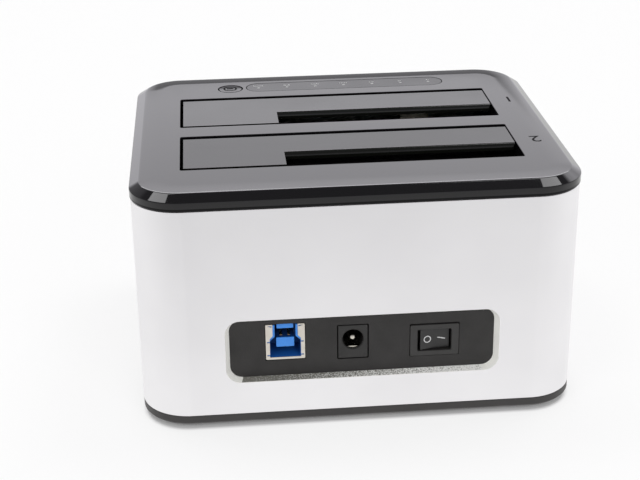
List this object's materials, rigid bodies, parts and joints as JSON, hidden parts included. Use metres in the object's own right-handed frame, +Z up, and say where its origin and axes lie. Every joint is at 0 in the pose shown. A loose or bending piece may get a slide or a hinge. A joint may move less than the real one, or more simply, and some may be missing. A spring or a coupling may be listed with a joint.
{
  "type": "two-bay hard drive dock",
  "caption": "Desktop dock for bare SATA drives: metal sleeve, glossy cover with two flapped drive slots, status lights, button, USB and DC inlets and a rocker switch.",
  "frame": {"origin": "centre of the resting plane under the four rubber feet", "axes": "+Z up, -Y towards the side with the sockets and the switch, +X to the right seen from that side"},
  "size_m": [0.1352, 0.1166, 0.077],
  "materials": {
    "sleeve_metal": "fine blasted and clear anodised",
    "cover_gloss": "moulded ABS, polished",
    "flap_gloss": "moulded ABS, polished",
    "base_plastic": "moulded ABS, satin",
    "panel_plastic": "moulded ABS, spark-eroded matt",
    "cage_plastic": "moulded ABS, matt",
    "feet_rubber": "matt",
    "screw_steel": "zinc plated",
    "pin_steel": "drawn wire",
    "spring_steel": "spring wire",
    "socket_plastic": "glass-filled, matt",
    "contact_gilt": "gilt",
    "board_green": "solder mask",
    "chip_epoxy": "moulded epoxy",
    "can_metal": "drawn cans",
    "coil_grey": "ferrite",
    "plug_white": "nylon",
    "cable_black": "sleeved harness",
    "usb_metal": "tin plated",
    "usb_blue": "moulded",
    "jack_plastic": "moulded",
    "jack_metal": "nickel plated",
    "switch_plastic": "moulded nylon",
    "rocker_plastic": "moulded nylon",
    "window_smoke": "smoked acrylic",
    "guide_clear": "clear acrylic",
    "led_white": "diffused",
    "button_gloss": "moulded ABS, polished"
  },
  "bodies": {
    "dock_body": {"sleeve": "sleeve_metal", "top_cover": "cover_gloss", "base": "base_plastic", "rubber_feet": "feet_rubber", "case_screws": "screw_steel", "rear_panel": "panel_plastic", "drive_cage": "cage_plastic", "cage_screws": "screw_steel", "flap_pin_a": "pin_steel", "flap_pin_b": "pin_steel", "flap_spring_a": "spring_steel", "flap_spring_b": "spring_steel", "sata_socket_a": "socket_plastic", "sata_socket_b": "socket_plastic", "sata_contacts_a": "contact_gilt", "sata_contacts_b": "contact_gilt", "main_board": "board_green", "board_screws": "screw_steel", "bridge_chip": "chip_epoxy", "small_chips": "chip_epoxy", "capacitors": "can_metal", "inductors": "coil_grey", "crystal": "can_metal", "board_header": "plug_white", "usb_shell": "usb_metal", "usb_insulator": "usb_blue", "usb_contacts": "contact_gilt", "jack_body": "jack_plastic", "jack_pin": "jack_metal", "jack_terminals": "jack_metal", "switch_housing": "switch_plastic", "switch_terminals": "jack_metal", "led_window": "window_smoke", "light_guide": "guide_clear", "indicator_board": "board_green", "indicator_leds": "led_white", "indicator_screws": "screw_steel", "indicator_plug": "plug_white", "indicator_cable": "cable_black", "button_switch": "socket_plastic"},
    "flap_a_body": {"flap_a": "flap_gloss"},
    "flap_b_body": {"flap_b": "flap_gloss"},
    "clone_button_body": {"clone_button": "button_gloss", "button_plunger": "socket_plastic"},
    "power_rocker_body": {"switch_rocker": "rocker_plastic"}
  },
  "joints": [
    {"name": "flap_a_hinge", "type": "hinge", "parent": "dock_body", "child": "flap_a_body", "pos_m": [0, 0.0339, 0.0724], "axis": [1, 0, 0], "range_deg": [0, 90], "stiffness_Nm_per_rad": 0.004, "springref_deg": -68.75, "deforming": ["flap_spring_a"]},
    {"name": "flap_b_hinge", "type": "hinge", "parent": "dock_body", "child": "flap_b_body", "pos_m": [0, -0.005, 0.0724], "axis": [1, 0, 0], "range_deg": [0, 90], "stiffness_Nm_per_rad": 0.004, "springref_deg": -68.75, "deforming": ["flap_spring_b"]},
    {"name": "clone_button_press", "type": "slide", "parent": "dock_body", "child": "clone_button_body", "axis": [0, 0, -1], "range_m": [0, 0.0006], "stiffness_N_per_m": 2500, "springref_m": -0.0004},
    {"name": "power_rocker_tilt", "type": "hinge", "parent": "dock_body", "child": "power_rocker_body", "pos_m": [0.0223, -0.05353, 0.0254], "axis": [0, 0, -1], "range_deg": [0, 16]}
  ]
}
